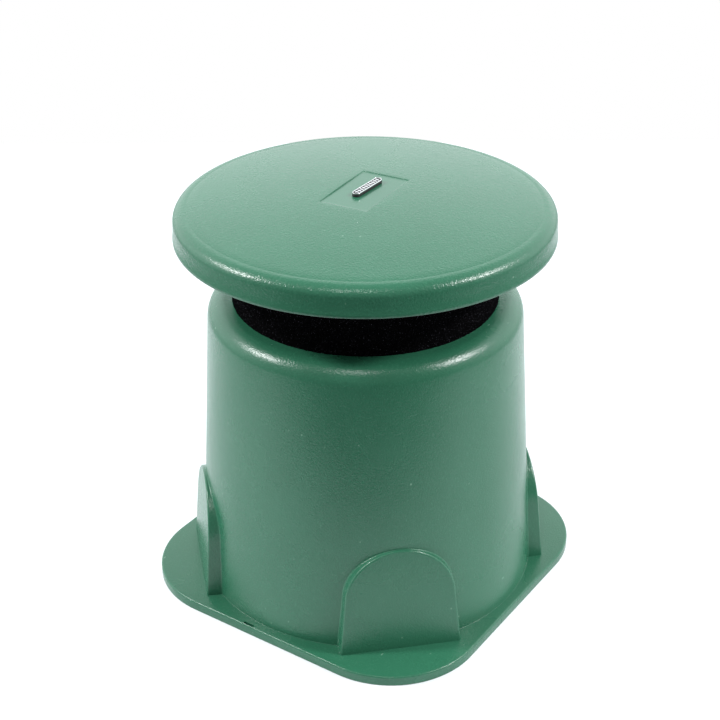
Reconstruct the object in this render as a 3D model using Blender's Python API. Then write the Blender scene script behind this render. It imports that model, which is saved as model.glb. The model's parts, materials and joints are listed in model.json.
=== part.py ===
"""Garden loudspeaker that radiates all round, as an assembly of separate pieces.

A tapered housing stands on a rounded square flange and is closed below by a base plate.
A full-range driver hangs under the housing's top plate and fires up at a reflector cone.
A cage carries the reflector and a wide cap, and a foam sleeve closes the sound gap.

The origin is at the middle of the flange's underside, +Z up, flange sides along X and Y.
Dimensions are written in millimetres, and the mesh helpers turn them into metres.
"""
import math

import bmesh
import bpy
from mathutils import Matrix, Vector

MM = 0.001
GAP = 0.3                     # clearance between two faces that meet
ROUND = 40                    # sides of a large turned piece
MIDDLE = 28                   # sides of a ring or a well
FINE = 20                     # sides of a driver piece
SMALL = 16                    # sides of a small turned piece
SCREW = 10                    # sides of a screw or a screw hole

# Housing
WALL = 4.0
FLANGE_HALF = 159.5
FLANGE_CORNER = 82.0
FLANGE_TOP = 9.2
FLANGE_UNDER = FLANGE_TOP - WALL
BODY_R_BASE = 151.0           # at the flange's top face
BODY_R_TOP = 134.3            # where the tapered wall would meet the top face
BODY_TOP = 271.5
SHOULDER = 16.5
TOP_PLATE = 6.0
PLATE_UNDER = BODY_TOP - TOP_PLATE
MOUTH_R = 90.0
FOOT_FILLET = 2.5
BOSS_FACE_BASE = 155.2        # distance of a boss's face from the axis, at the flange
BOSS_FACE_TOP = 147.6         # the same at the top of its arch
BOSS_TOP = 105.0
BOSS_HALF_BASE = 52.6
BOSS_HALF_ARCH = 47.5
BOSS_BACK = 128.0
DRAIN_AT = (-17.3, -157.2)
DRAIN_SIZE = (11.0, 2.4)

# Base plate, its wells and its fasteners
BASE_POST_R = 141.5
BASE_POST = 7.0
BASE_POST_TOP = 28.0
BASE_LOW = 0.6
BASE_HIGH = 3.6
BASE_HALF = FLANGE_HALF - WALL - 0.8
BASE_CORNER = FLANGE_CORNER - WALL - 0.8
WELL_WALL = 2.5
WELL_LIP = 5.0
CABLE_WELL_R = 32.0
CABLE_WELL_TOP = 40.0
SELECTOR_X = 72.0
SELECTOR_WELL_R = 22.0
SELECTOR_WELL_TOP = 26.0
TRANSFORMER_X = -76.0
PAD_TOP = 12.0
PAD_OFFSET = 31.0
PAD_R = 5.5
CORE_SIDE = 48.0
CORE_HIGH = 40.0
STRAP = 1.5

# Driver
DRIVER_SCREW_R = 98.5
BASKET_TOP = 263.1
BASKET_SHEET = 1.8
LEDGE_Z = 231.5
MAGNET_R = 45.0
POLE_R = 15.2
COIL_GAP_R = 18.0
CONE_RIM_R = 71.5
SURROUND_R = 89.0

# Sound gap, reflector and cap
CAGE_LOW = BODY_TOP + GAP
CAGE_HIGH = 331.0
CAGE_RING = 4.0
CAP_SCREW_R = 99.5
FOAM_R = 114.0
FOAM_WALL = 6.0
FOAM_CLEAR = 0.8              # room between the foam and the cap, whose facets dip a little
CAP_R = 160.0
CAP_LOW = 329.0
CAP_RIM = 354.5               # height where the dome turns into the rolled rim
CAP_RIM_R = 147.7
CAP_ROLL = 9.2
CAP_RISE = 10.2
CAP_SHEET = 3.5
CAP_POST_R = 5.8
RECESS = (74.0, 43.4)
RECESS_FLOOR = 363.3
RECESS_TURN = 95.3
RECESS_AT = (-1.0, 1.5)
BADGE = (39.5, 7.0)
BADGE_TURN = 91.0
BADGE_AT = (-1.7, 6.0)
PLATE_THICK = 2.2
RIM_WIDE = 1.0
RIM_HIGH = 0.6

QUARTERS = [90.0 * k for k in range(4)]
POST_ANGLES = [22.5 + 45.0 * k for k in range(8)]


# ---------------------------------------------------------------- outlines

def polar(radius, degrees):
    """A point in the plan at a radius and an angle."""
    angle = math.radians(degrees)
    return radius * math.cos(angle), radius * math.sin(angle)


def arc(centre, radii, start, end, steps):
    """Points along an ellipse's arc, angles in degrees."""
    points = []
    for k in range(steps + 1):
        angle = math.radians(start + (end - start) * k / steps)
        points.append((centre[0] + radii[0] * math.cos(angle), centre[1] + radii[1] * math.sin(angle)))
    return points


def rounded_square(half, corner, steps=6):
    """A square with round corners, counterclockwise."""
    points = []
    for k, (sx, sy) in enumerate([(1, 1), (-1, 1), (-1, -1), (1, -1)]):
        centre = (sx * (half - corner), sy * (half - corner))
        points += arc(centre, (corner, corner), 90 * k, 90 * k + 90, steps)
    return points


def stadium(length, width, steps=4):
    """A bar along X with half-round ends."""
    r = width / 2
    x = length / 2 - r
    return arc((x, 0), (r, r), -90, 90, steps) + arc((-x, 0), (r, r), 90, 270, steps)


def rectangle(length, width):
    x = length / 2
    y = width / 2
    return [(x, -y), (x, y), (-x, y), (-x, -y)]


def body_radius(z):
    """Radius of the housing's tapered wall at a height."""
    share = (z - FLANGE_TOP) / (BODY_TOP - FLANGE_TOP)
    return BODY_R_BASE + (BODY_R_TOP - BODY_R_BASE) * share


def dome_height(radius):
    """Height of the cap's outer dome at a radius."""
    return CAP_RIM + CAP_RISE * (1 - (radius / CAP_RIM_R) ** 2)


# ---------------------------------------------------------------- mesh helpers

def clear_scene():
    for item in list(bpy.data.objects):
        bpy.data.objects.remove(item, do_unlink=True)


def finish_mesh(bm, name, material=None):
    """Turn a bmesh into an object with outward faces and smooth round sides."""
    bmesh.ops.recalc_face_normals(bm, faces=bm.faces)
    mesh = bpy.data.meshes.new(name)
    bm.to_mesh(mesh)
    bm.free()
    mesh.shade_smooth()
    mesh.set_sharp_from_angle(angle=math.radians(35))
    item = bpy.data.objects.new(name, mesh)
    bpy.context.scene.collection.objects.link(item)
    if material:
        mesh.materials.append(material)
    return item


def bridge(bm, first, second):
    """Faces between two rings of vertices; a ring of one vertex is a pole."""
    for k in range(max(len(first), len(second))):
        n = k + 1
        corners = [first[k % len(first)], first[n % len(first)]]
        corners += [second[n % len(second)], second[k % len(second)]]
        corners = list(dict.fromkeys(corners))
        if len(corners) > 2:
            bm.faces.new(corners)


def spin_into(bm, outline, sides, at=(0, 0)):
    """Turn a closed (radius, height) outline about the upright line through a point."""
    rings = []
    for radius, z in outline:
        count = sides if radius > 0 else 1
        ring = [polar(radius, 360 * k / sides) for k in range(count)]
        rings.append([bm.verts.new(Vector((x + at[0], y + at[1], z)) * MM) for x, y in ring])
    for first, second in zip(rings, rings[1:] + rings[:1]):
        bridge(bm, first, second)


def turned(name, outline, material=None, sides=FINE, at=(0, 0)):
    """A turned piece."""
    bm = bmesh.new()
    spin_into(bm, outline, sides, at)
    return finish_mesh(bm, name, material)


def extrude_into(bm, outline, low, high, turn=0.0, at=(0, 0)):
    """Extrude a plan outline between two heights, turned and moved in the plan."""
    spot = Matrix.Translation(Vector((at[0], at[1], 0)) * MM) @ Matrix.Rotation(math.radians(turn), 4, "Z")
    verts = [bm.verts.new(spot @ (Vector((x, y, low)) * MM)) for x, y in outline]
    face = bm.faces.new(verts)
    grown = bmesh.ops.extrude_face_region(bm, geom=[face])["geom"]
    top = [v for v in grown if isinstance(v, bmesh.types.BMVert)]
    bmesh.ops.translate(bm, verts=top, vec=Vector((0, 0, high - low)) * MM)


def extruded(name, outline, low, high, material=None, turn=0.0, at=(0, 0)):
    """A piece with straight upright walls."""
    bm = bmesh.new()
    extrude_into(bm, outline, low, high, turn, at)
    return finish_mesh(bm, name, material)


def pins(name, spots, radius, low, high, sides=SCREW):
    """Several upright cylinders in one helper object."""
    bm = bmesh.new()
    for spot in spots:
        spin_into(bm, [(0, low), (radius, low), (radius, high), (0, high)], sides, spot)
    return finish_mesh(bm, name)


def slab(name, outline, thickness, material=None, at=(0, 0)):
    """A strip bent in the XZ plane, as wide as its thickness along Y."""
    bm = bmesh.new()
    verts = [bm.verts.new(Vector((x + at[0], at[1] - thickness / 2, z)) * MM) for x, z in outline]
    face = bm.faces.new(verts)
    grown = bmesh.ops.extrude_face_region(bm, geom=[face])["geom"]
    side = [v for v in grown if isinstance(v, bmesh.types.BMVert)]
    bmesh.ops.translate(bm, verts=side, vec=Vector((0, thickness, 0)) * MM)
    return finish_mesh(bm, name, material)


def boolean(piece, helper, operation):
    """Cut or join a helper object, which stays in the scene as a wire guide."""
    helper.hide_render = True
    helper.display_type = "WIRE"
    step = piece.modifiers.new(helper.name, "BOOLEAN")
    step.operation = operation
    step.solver = "EXACT"
    step.object = helper


def cut(piece, helper):
    boolean(piece, helper, "DIFFERENCE")


def join(piece, helper):
    boolean(piece, helper, "UNION")


def wire(name, route, radius, material):
    """A thin lead along a smooth curve through a few chosen points."""
    curve = bpy.data.curves.new(name, "CURVE")
    curve.dimensions = "3D"
    curve.bevel_depth = radius * MM
    curve.bevel_resolution = 1
    curve.use_fill_caps = True
    spline = curve.splines.new("POLY")
    points = smooth_route(route)
    spline.points.add(len(points) - 1)
    for spot, point in zip(spline.points, points):
        spot.co = (*(point * MM), 1)
    curve.materials.append(material)
    item = bpy.data.objects.new(name, curve)
    bpy.context.scene.collection.objects.link(item)
    return item


def smooth_route(route, steps=5):
    """Points on a Catmull-Rom curve through the route's own points."""
    spots = [Vector(p) for p in route]
    ends = [2 * spots[0] - spots[1], *spots, 2 * spots[-1] - spots[-2]]
    points = [spots[0]]
    for a, b, c, d in zip(ends, ends[1:], ends[2:], ends[3:]):
        for k in range(1, steps + 1):
            t = k / steps
            points.append(0.5 * (2 * b + (c - a) * t + (2 * a - 5 * b + 4 * c - d) * t ** 2
                                 + (3 * b - a - 3 * c + d) * t ** 3))
    return points


def moving_group(name, at, pieces):
    """Parent pieces to an empty that stands on their joint's axis."""
    axis = bpy.data.objects.new(name, None)
    axis.location = Vector(at) * MM
    bpy.context.scene.collection.objects.link(axis)
    for piece in pieces:
        piece.parent = axis
        piece.matrix_parent_inverse = Matrix.Translation(-axis.location)


# ---------------------------------------------------------------- materials

def principled(name, colour, roughness, metallic=0.0):
    material = bpy.data.materials.get(name)
    if material is None:
        material = bpy.data.materials.new(name)
        material.use_nodes = True
        shader = material.node_tree.nodes["Principled BSDF"]
        shader.inputs["Base Color"].default_value = (*colour, 1)
        shader.inputs["Roughness"].default_value = roughness
        shader.inputs["Metallic"].default_value = metallic
    return material


def green_plastic():
    return principled("green_plastic", (0.055, 0.19, 0.11), 0.5)


def black_plastic():
    return principled("black_plastic", (0.02, 0.02, 0.022), 0.45)


def foam_black():
    return principled("foam_black", (0.006, 0.006, 0.007), 0.95)


def rubber_black():
    return principled("rubber_black", (0.018, 0.018, 0.018), 0.8)


def chrome():
    return principled("chrome", (0.8, 0.8, 0.82), 0.15, 1.0)


def zinc_steel():
    return principled("zinc_steel", (0.55, 0.56, 0.57), 0.35, 1.0)


def black_steel():
    return principled("black_steel", (0.03, 0.03, 0.032), 0.4, 0.8)


def ferrite():
    return principled("ferrite", (0.06, 0.06, 0.065), 0.6)


def paper_cone():
    return principled("paper_cone", (0.05, 0.05, 0.055), 0.85)


def spider_cloth():
    return principled("spider_cloth", (0.45, 0.28, 0.08), 0.9)


def copper():
    return principled("copper", (0.75, 0.34, 0.16), 0.35, 1.0)


def coil_tape():
    return principled("coil_tape", (0.55, 0.42, 0.12), 0.6)


def lead_red():
    return principled("lead_red", (0.5, 0.03, 0.02), 0.5)


# ---------------------------------------------------------------- housing

def arch_outline(inset, low):
    """The boss's arch as (across, height), narrowed all round by the inset."""
    base = BOSS_HALF_BASE - inset
    top = BOSS_HALF_ARCH - inset
    centre = BOSS_TOP - BOSS_HALF_ARCH
    arch = arc((0, centre), (top, top), 0, 180, 10)
    return [(-base, low), (base, low), (base, FLANGE_TOP), *arch, (-base, FLANGE_TOP)]


def boss_face(z):
    """Distance of a boss's leaning face from the axis at a height."""
    share = (z - FLANGE_TOP) / (BOSS_TOP - FLANGE_TOP)
    return BOSS_FACE_BASE + (BOSS_FACE_TOP - BOSS_FACE_BASE) * share


def boss_blocks(name, inset, low):
    """Four arched blocks that face the flange's corners."""
    bm = bmesh.new()
    outline = arch_outline(inset, low)
    for turn in QUARTERS:
        spot = Matrix.Rotation(math.radians(turn + 45), 4, "Z")
        back = [bm.verts.new(spot @ (Vector((BOSS_BACK, u, z)) * MM)) for u, z in outline]
        front = [bm.verts.new(spot @ (Vector((boss_face(z) - inset, u, z)) * MM)) for u, z in outline]
        bm.faces.new(back)
        bm.faces.new(front)
        bridge(bm, back, front)
    return finish_mesh(bm, name)


def housing_body():
    """Tapered solid with a fillet at its foot and a round shoulder."""
    low = FLANGE_TOP - 3
    fillet_r = BODY_R_BASE + FOOT_FILLET
    fillet_top = FLANGE_TOP + FOOT_FILLET
    foot = [(0, low), (fillet_r, low), (fillet_r, FLANGE_TOP - 0.3)]
    halfway = FOOT_FILLET * (1 - math.sqrt(0.5))
    foot += [(BODY_R_BASE + halfway, FLANGE_TOP + halfway), (body_radius(fillet_top), fillet_top)]
    shoulder_z = BODY_TOP - SHOULDER
    centre = (body_radius(shoulder_z) - SHOULDER, shoulder_z)
    shoulder = arc(centre, (SHOULDER, SHOULDER), 0, 90, 5)
    return turned("housing", foot + shoulder + [(0, BODY_TOP)], green_plastic(), ROUND)


def housing_cavity():
    """Inside of the housing, open at the bottom and through the mouth."""
    inner = SHOULDER - WALL
    low = -1.0
    shoulder_z = PLATE_UNDER - inner
    centre = (body_radius(BODY_TOP - SHOULDER) - WALL - inner, shoulder_z)
    outline = [(0, low), (body_radius(low) - WALL, low)] + arc(centre, (inner, inner), 0, 90, 4)
    outline += [(MOUTH_R, PLATE_UNDER), (MOUTH_R, BODY_TOP + 2), (0, BODY_TOP + 2)]
    return turned("housing_cavity", outline, sides=ROUND)


def housing():
    shell = housing_body()
    flange = rounded_square(FLANGE_HALF, FLANGE_CORNER)
    join(shell, extruded("flange_block", flange, 0, FLANGE_TOP))
    join(shell, boss_blocks("boss_outside", 0, FLANGE_TOP - 3))
    cut(shell, housing_cavity())
    recess = rounded_square(FLANGE_HALF - WALL, FLANGE_CORNER - WALL)
    cut(shell, extruded("flange_recess", recess, -1, FLANGE_UNDER))
    cut(shell, boss_blocks("boss_inside", WALL, 1.0))
    spots = [polar(BASE_POST_R, angle) for angle in POST_ANGLES]
    join(shell, pins("base_posts", spots, BASE_POST, FLANGE_UNDER, BASE_POST_TOP, SMALL))
    cut(shell, pins("base_post_holes", spots, 2.0, 1.0, 22.0))
    spots = [polar(DRIVER_SCREW_R, 22.5 + angle) for angle in QUARTERS]
    cut(shell, pins("driver_holes", spots, 2.3, PLATE_UNDER - 2, BODY_TOP + 2))
    cut(shell, extruded("drain_pocket", stadium(*DRAIN_SIZE), 3.2, FLANGE_TOP + 1, at=DRAIN_AT))
    return shell


# ---------------------------------------------------------------- base

def countersunk_holes(name, spots):
    """Holes with a cone for flat-headed screws that come from below."""
    bm = bmesh.new()
    for spot in spots:
        outline = [(0, 0), (3.9, 0), (3.9, BASE_LOW + GAP), (2.1, 2.7), (2.1, 8), (0, 8)]
        spin_into(bm, outline, SCREW, spot)
    return finish_mesh(bm, name)


def base_plate():
    """Flat bottom cover with two round holes for the wells and two transformer pads."""
    outline = rounded_square(BASE_HALF, BASE_CORNER)
    plate = extruded("base_plate", outline, BASE_LOW, BASE_HIGH, black_plastic())
    pads = [(TRANSFORMER_X + side * PAD_OFFSET, 0) for side in (-1, 1)]
    join(plate, pins("base_pads", pads, PAD_R, BASE_LOW + 1, PAD_TOP, SMALL))
    cut(plate, pins("base_pad_holes", pads, 1.8, 4.5, PAD_TOP + 1))
    holes = bmesh.new()
    for radius, x in [(CABLE_WELL_R, 0), (SELECTOR_WELL_R, SELECTOR_X)]:
        hole = radius + GAP
        spin_into(holes, [(0, 0), (hole, 0), (hole, BASE_HIGH + 1), (0, BASE_HIGH + 1)], MIDDLE, (x, 0))
    cut(plate, finish_mesh(holes, "base_well_holes"))
    cut(plate, countersunk_holes("base_screw_holes", [polar(BASE_POST_R, a) for a in POST_ANGLES]))
    return plate


def well(name, radius, top, hole, x):
    """A cup set into the base plate from above, open below, with a hole in its ceiling."""
    inside = radius - WELL_WALL
    ceiling = top - WELL_WALL
    lip = radius + WELL_LIP
    lip_low = BASE_HIGH + GAP
    lip_high = lip_low + WELL_WALL
    wall = [(inside, ceiling), (inside, BASE_LOW), (radius, BASE_LOW), (radius, lip_low)]
    collar = [(lip, lip_low), (lip, lip_high), (radius, lip_high)]
    crown = [(radius, top), (hole, top), (hole, ceiling)]
    return turned(name, wall + collar + crown, black_plastic(), MIDDLE, (x, 0))


def wells():
    well("cable_well", CABLE_WELL_R, CABLE_WELL_TOP, 8.3, 0)
    well("selector_well", SELECTOR_WELL_R, SELECTOR_WELL_TOP, 4.5, SELECTOR_X)


def base_gasket():
    """Flat seal between the flange and the base plate."""
    low = BASE_HIGH + GAP
    high = FLANGE_UNDER - GAP
    seal = extruded("base_gasket", rounded_square(BASE_HALF, BASE_CORNER), low, high, rubber_black())
    cut(seal, pins("gasket_window", [(0, 0)], 133.0, low - 1, high + 1, MIDDLE))
    cut(seal, pins("gasket_holes", [polar(BASE_POST_R, a) for a in POST_ANGLES], 2.4, low - 1, high + 1))
    return seal


def screw_mesh_copies(stem, outline, spots, material):
    """Equal screws, each its own object on one shared mesh."""
    first = turned(stem + "_1", outline, material, SCREW)
    first.location = Vector((*spots[0], 0)) * MM
    for k, spot in enumerate(spots[1:], 2):
        copy = bpy.data.objects.new(f"{stem}_{k}", first.data)
        copy.location = Vector((*spot, 0)) * MM
        bpy.context.scene.collection.objects.link(copy)


def base_screws():
    low = BASE_LOW + 0.2
    outline = [(0, low), (3.5, low), (3.5, low + 0.2), (1.7, 2.5), (1.7, 19), (0, 20.5)]
    spots = [polar(BASE_POST_R, angle) for angle in POST_ANGLES]
    screw_mesh_copies("base_screw", outline, spots, zinc_steel())


# ---------------------------------------------------------------- cable gland and tap selector

def hexagon(across_flats):
    radius = across_flats / math.sqrt(3)
    return [polar(radius, 60 * k) for k in range(6)]


def hex_nut(name, across_flats, bore, low, high, material, at=(0, 0)):
    nut = extruded(name, hexagon(across_flats), low, high, material, at=at)
    cut(nut, pins(name + "_bore", [at], bore, low - 1, high + 1, 24))
    return nut


def cable_gland():
    """Threaded body through the well's ceiling, locknut inside, dome nut and seal below."""
    ceiling = CABLE_WELL_TOP - WELL_WALL
    collar_low = ceiling - 5.5
    neck = collar_low + 1
    outline = [(7.9, 50), (4.2, 50), (4.2, 31.5), (6.4, 30), (6.4, 24), (7.6, 24), (7.6, neck), (7.9, neck)]
    body = turned("gland_body", outline, black_plastic(), 24)
    collar = extruded("gland_collar", hexagon(20), collar_low, ceiling - GAP)
    cut(collar, pins("gland_collar_bore", [(0, 0)], 7.0, collar_low - 1, ceiling, 24))
    join(body, collar)
    hex_nut("gland_locknut", 21, 8.2, CABLE_WELL_TOP + GAP, CABLE_WELL_TOP + 5, black_plastic())
    nut_top = collar_low - GAP
    outline = [(11, nut_top), (11, 22), (8.5, 17), (5, 16), (5, 18.5), (7.9, 20.5), (7.9, nut_top)]
    turned("gland_nut", outline, black_plastic(), 24)
    turned("gland_seal", [(6.1, 29.5), (6.1, 21.5), (4.5, 21.5), (4.5, 29.5)], rubber_black(), 24)


def selector_switch():
    """Rotary switch on the well's ceiling, with its bush and shaft pointing down."""
    low = SELECTOR_WELL_TOP + GAP
    body = extruded("selector_switch", rectangle(26, 24), low, low + 16, black_plastic(), at=(SELECTOR_X, 0))
    outline = [(0, 9), (3, 9), (3, 18.5), (4.1, 18.5), (4.1, low + 2), (0, low + 2)]
    join(body, turned("selector_bush", outline, sides=SMALL, at=(SELECTOR_X, 0)))
    return body


def selector_knob():
    """Pointer knob on the switch's shaft."""
    outline = [(0, 4), (8.5, 4), (9.5, 5), (9.5, 17), (3.3, 17), (3.3, 8.5), (0, 8.5)]
    knob = turned("selector_knob", outline, black_plastic(), SMALL, at=(SELECTOR_X, 0))
    bar = extruded("knob_pointer", rectangle(7, 4), 4.5, 14, at=(SELECTOR_X + 8, 0))
    join(knob, bar)
    return knob


def tap_selector():
    selector_switch()
    ceiling = SELECTOR_WELL_TOP - WELL_WALL
    hex_nut("selector_nut", 12, 4.4, ceiling - 3, ceiling - GAP, zinc_steel(), at=(SELECTOR_X, 0))
    moving_group("tap_selector_axis", (SELECTOR_X, 0, 12), [selector_knob()])


# ---------------------------------------------------------------- transformer

def transformer():
    """Line transformer: laminated core, wound coil, and a strap over both."""
    half = CORE_SIDE / 2
    leg = CORE_SIDE / 6
    low = PAD_TOP + 2.1
    high = low + CORE_HIGH
    outline = [(-half, low), (half, low), (half, high), (-half, high)]
    core = slab("transformer_core", outline, 2 * leg, black_steel(), (TRANSFORMER_X, 0))
    windows = bmesh.new()
    for side in (-1, 1):
        spot = (TRANSFORMER_X + side * 1.5 * leg, 0)
        extrude_into(windows, rectangle(leg, 20), low + leg, high - leg, at=spot)
    cut(core, finish_mesh(windows, "core_windows"))
    coil_low = low + leg + GAP
    coil_high = high - leg - GAP
    coil_size = rectangle(4 * leg - 2 * GAP, 34)
    coil = extruded("transformer_coil", coil_size, coil_low, coil_high, coil_tape(), at=(TRANSFORMER_X, 0))
    hole = rectangle(2 * leg + 2 * GAP, 2 * leg + 2 * GAP)
    cut(coil, extruded("coil_window", hole, coil_low - 1, coil_high + 1, at=(TRANSFORMER_X, 0)))
    transformer_bracket(half + GAP, high + GAP)


def transformer_bracket(inner, top):
    """Strap bent over the core, with a foot and a screw on each pad."""
    outer = inner + STRAP
    foot = PAD_TOP + GAP
    tip = PAD_OFFSET + 6
    outside = [(tip, foot), (tip, foot + STRAP), (outer, foot + STRAP), (outer, top + STRAP)]
    inside = [(-inner, foot), (-inner, top), (inner, top), (inner, foot)]
    outline = outside + [(-x, z) for x, z in reversed(outside)] + inside
    strap = slab("transformer_bracket", outline, 14, zinc_steel(), (TRANSFORMER_X, 0))
    pads = [(TRANSFORMER_X + side * PAD_OFFSET, 0) for side in (-1, 1)]
    cut(strap, pins("bracket_holes", pads, 2.0, foot - 1, foot + 3))
    head = foot + STRAP + GAP
    screw = [(0, 6), (1.5, 7), (1.5, head), (3.4, head), (3.0, head + 2), (0, head + 2.2)]
    screw_mesh_copies("transformer_screw", screw, pads, zinc_steel())


def wiring():
    """Terminal block for the cable's cores, and the driver's two leads."""
    low = BASE_HIGH + GAP
    extruded("inlet_terminal_block", rectangle(26, 14), low, low + 15, black_plastic(), at=(0, -58))
    for name, side, material in [("lead_positive", 1, lead_red()), ("lead_negative", -1, black_plastic())]:
        route = [(TRANSFORMER_X, side * 12.6, 47), (TRANSFORMER_X, side * 12.6, 70), (-66, side * 10, 130),
                 (-56, side * 7, 190), (-51, side * 6, 206), (-50.7, side * 6, 218.6)]
        wire(name, route, 1.1, material)
    for name, side in [("tinsel_lead_positive", 1), ("tinsel_lead_negative", -1)]:
        route = [(-54, side * 6, 225), (-58, side * 6, 226.5), (-65, side * 6, 233), (-64, side * 6, 243),
                 (-50, side * 6, 248), (-37, side * 6, 247.4)]
        wire(name, route, 0.6, copper())


# ---------------------------------------------------------------- driver

def driver_basket():
    """Pressed frame: mounting flange, open conical wall, spider ledge and magnet seat."""
    under = BASKET_TOP - BASKET_SHEET
    outline = [(102.5, under), (102.5, BASKET_TOP), (79.5, BASKET_TOP), (52, LEDGE_Z), (46.2, LEDGE_Z),
               (46.2, 219.5), (18.5, 219.5), (18.5, 217.7), (48, 217.7), (48, LEDGE_Z - BASKET_SHEET),
               (53.2, LEDGE_Z - BASKET_SHEET), (80.6, under)]
    basket = turned("driver_basket", outline, black_steel(), FINE)
    windows = bmesh.new()
    for k in range(6):
        extrude_into(windows, rectangle(44, 34), 237, 256, 60 * k, polar(68, 60 * k))
    cut(basket, finish_mesh(windows, "basket_windows"))
    spots = [polar(DRIVER_SCREW_R, 22.5 + angle) for angle in QUARTERS]
    cut(basket, pins("basket_holes", spots, 2.3, under - 1, BASKET_TOP + 1))
    return basket


def driver_gasket():
    low = BASKET_TOP + GAP
    high = PLATE_UNDER - GAP
    outline = [(91, low), (102.5, low), (102.5, high), (91, high)]
    seal = turned("driver_gasket", outline, rubber_black(), FINE)
    spots = [polar(DRIVER_SCREW_R, 22.5 + angle) for angle in QUARTERS]
    cut(seal, pins("driver_gasket_holes", spots, 2.3, low - 1, high + 1))
    return seal


def magnet_system():
    """Front plate, ring magnet, and back plate with its vented pole."""
    ring = [(COIL_GAP_R, 211.4), (MAGNET_R, 211.4), (MAGNET_R, 217.4), (COIL_GAP_R, 217.4)]
    turned("front_plate", ring, zinc_steel(), FINE)
    turned("magnet", [(27, 196.1), (47.5, 196.1), (47.5, 211.1), (27, 211.1)], ferrite(), FINE)
    plate = [(4, 189.8), (42, 189.8), (MAGNET_R, 192), (MAGNET_R, 195.8)]
    pole = plate + [(POLE_R, 195.8), (POLE_R, 217.4), (4, 217.4)]
    turned("pole_piece", pole, zinc_steel(), FINE)


def sheet_outline(path, thickness):
    """Close a (radius, height) path into a thin sheet of even height."""
    return path + [(r, z - thickness) for r, z in reversed(path)]


def spider():
    """Corrugated centring disc between the coil former and the ledge."""
    base = LEDGE_Z + GAP + 0.8
    waves = [(19 + k * 3.0, base + 1.1 * math.sin(math.pi * k / 2)) for k in range(1, 10)]
    path = [(16.4, base)] + waves + [(51.5, base)]
    turned("spider", sheet_outline(path, 0.8), spider_cloth(), FINE)


def surround():
    """Half-roll of rubber between the cone's rim and the basket."""
    low = BASKET_TOP + GAP
    roll = arc((77.3, low + 0.9), (5.3, 5.3), 180, 0, 5)
    path = [(66.5, low + 0.9)] + roll + [(SURROUND_R, low + 0.9)]
    inner = arc((77.3, low), (4.4, 4.9), 0, 180, 5)
    turned("surround", path + [(SURROUND_R, low)] + inner + [(66.5, low)], rubber_black(), FINE)


def diaphragm():
    """Everything that moves with the voice coil."""
    path = [(16.4, 236.6), (24, 242.6), (34, 249.3), (48, 256.6), (64, 262.4)]
    path += [(66, BASKET_TOP), (CONE_RIM_R, BASKET_TOP)]
    cone = turned("cone", sheet_outline(path, 1.2), paper_cone(), FINE)
    path = [(17.8, 241), (22, 246.5), (28, 253), (36, 260)]
    whizzer = turned("whizzer_cone", sheet_outline(path, 1.0), paper_cone(), FINE)
    dome = arc((0, 226.7), (16, 16.3), 37, 90, 4)
    path = [(16.0, 236.5)] + dome
    inside = arc((0, 225.9), (15.2, 16.1), 90, 41, 4)
    cap = turned("dust_cap", path + inside, paper_cone(), FINE)
    former = turned("coil_former", [(15.6, 206), (16.1, 206), (16.1, 236), (15.6, 236)], coil_tape(), FINE)
    turns = [(16.4, 209.4), (17.2, 209.4), (17.2, 219.4), (16.4, 219.4)]
    winding = turned("coil_winding", turns, copper(), FINE)
    moving_group("cone_travel_axis", (0, 0, 230), [cone, whizzer, cap, former, winding])


def terminal_strip():
    """Insulated strip with the driver's two tags, on the basket's neck."""
    extruded("terminal_strip", rectangle(5, 24), 219, 228.6, coil_tape(), at=(-50.9, 0))


def driver_screws():
    under = BASKET_TOP - BASKET_SHEET - GAP
    outline = [(0, under - 3), (3.6, under - 2.6), (4, under), (1.9, under), (1.9, 291), (0, 292.5)]
    spots = [polar(DRIVER_SCREW_R, 22.5 + angle) for angle in QUARTERS]
    screw_mesh_copies("cage_screw", outline, spots, zinc_steel())


# ---------------------------------------------------------------- sound gap and cap

def cage():
    """Two rings joined by eight posts, which carries the reflector and the cap."""
    ring = [(92, CAGE_LOW), (107, CAGE_LOW), (107, CAGE_LOW + CAGE_RING), (92, CAGE_LOW + CAGE_RING)]
    frame = turned("cage", ring, black_plastic(), MIDDLE)
    low = CAGE_HIGH - CAGE_RING
    ring = [(92, low), (106, low), (106, CAGE_HIGH), (92, CAGE_HIGH)]
    join(frame, turned("cage_top_ring", ring, sides=MIDDLE))
    spots = [polar(DRIVER_SCREW_R, angle) for angle in POST_ANGLES]
    join(frame, pins("cage_posts", spots, 4.6, CAGE_LOW + 1, low + 1, SCREW))
    cut(frame, pins("cage_screw_holes", spots[::2], 2.2, CAGE_LOW - 1, 294))
    spots = [polar(CAP_SCREW_R, angle) for angle in QUARTERS]
    cut(frame, pins("cap_screw_passages", spots, 2.2, low - 1, CAGE_HIGH + 1))
    return frame


def foam_sleeve():
    """Open-cell sleeve round the cage, from the top plate to the cap's underside."""
    inner = FOAM_R - FOAM_WALL
    high = dome_height(FOAM_R) - CAP_SHEET - FOAM_CLEAR
    outline = [(inner, CAGE_LOW), (FOAM_R, CAGE_LOW), (FOAM_R, high), (inner, high)]
    turned("foam_sleeve", outline, foam_black(), ROUND)


def diffuser():
    """Flared reflector whose tip points down at the driver."""
    low = CAGE_HIGH + GAP
    path = [(0, 292), (7, 294), (18, 301.5), (36, 314.5), (58, 325.5), (84, low), (106, low)]
    inside = [(106, low + 2.2), (83, low + 2.2), (57, 327.9), (35, 316.9), (17, 304)]
    inside += [(6.4, 296.3), (0, 294.4)]
    cone = turned("diffuser", path + inside, black_plastic(), FINE)
    cut(cone, pins("diffuser_holes", [polar(CAP_SCREW_R, a) for a in QUARTERS], 2.2, low - 1, low + 4))
    return cone


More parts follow.
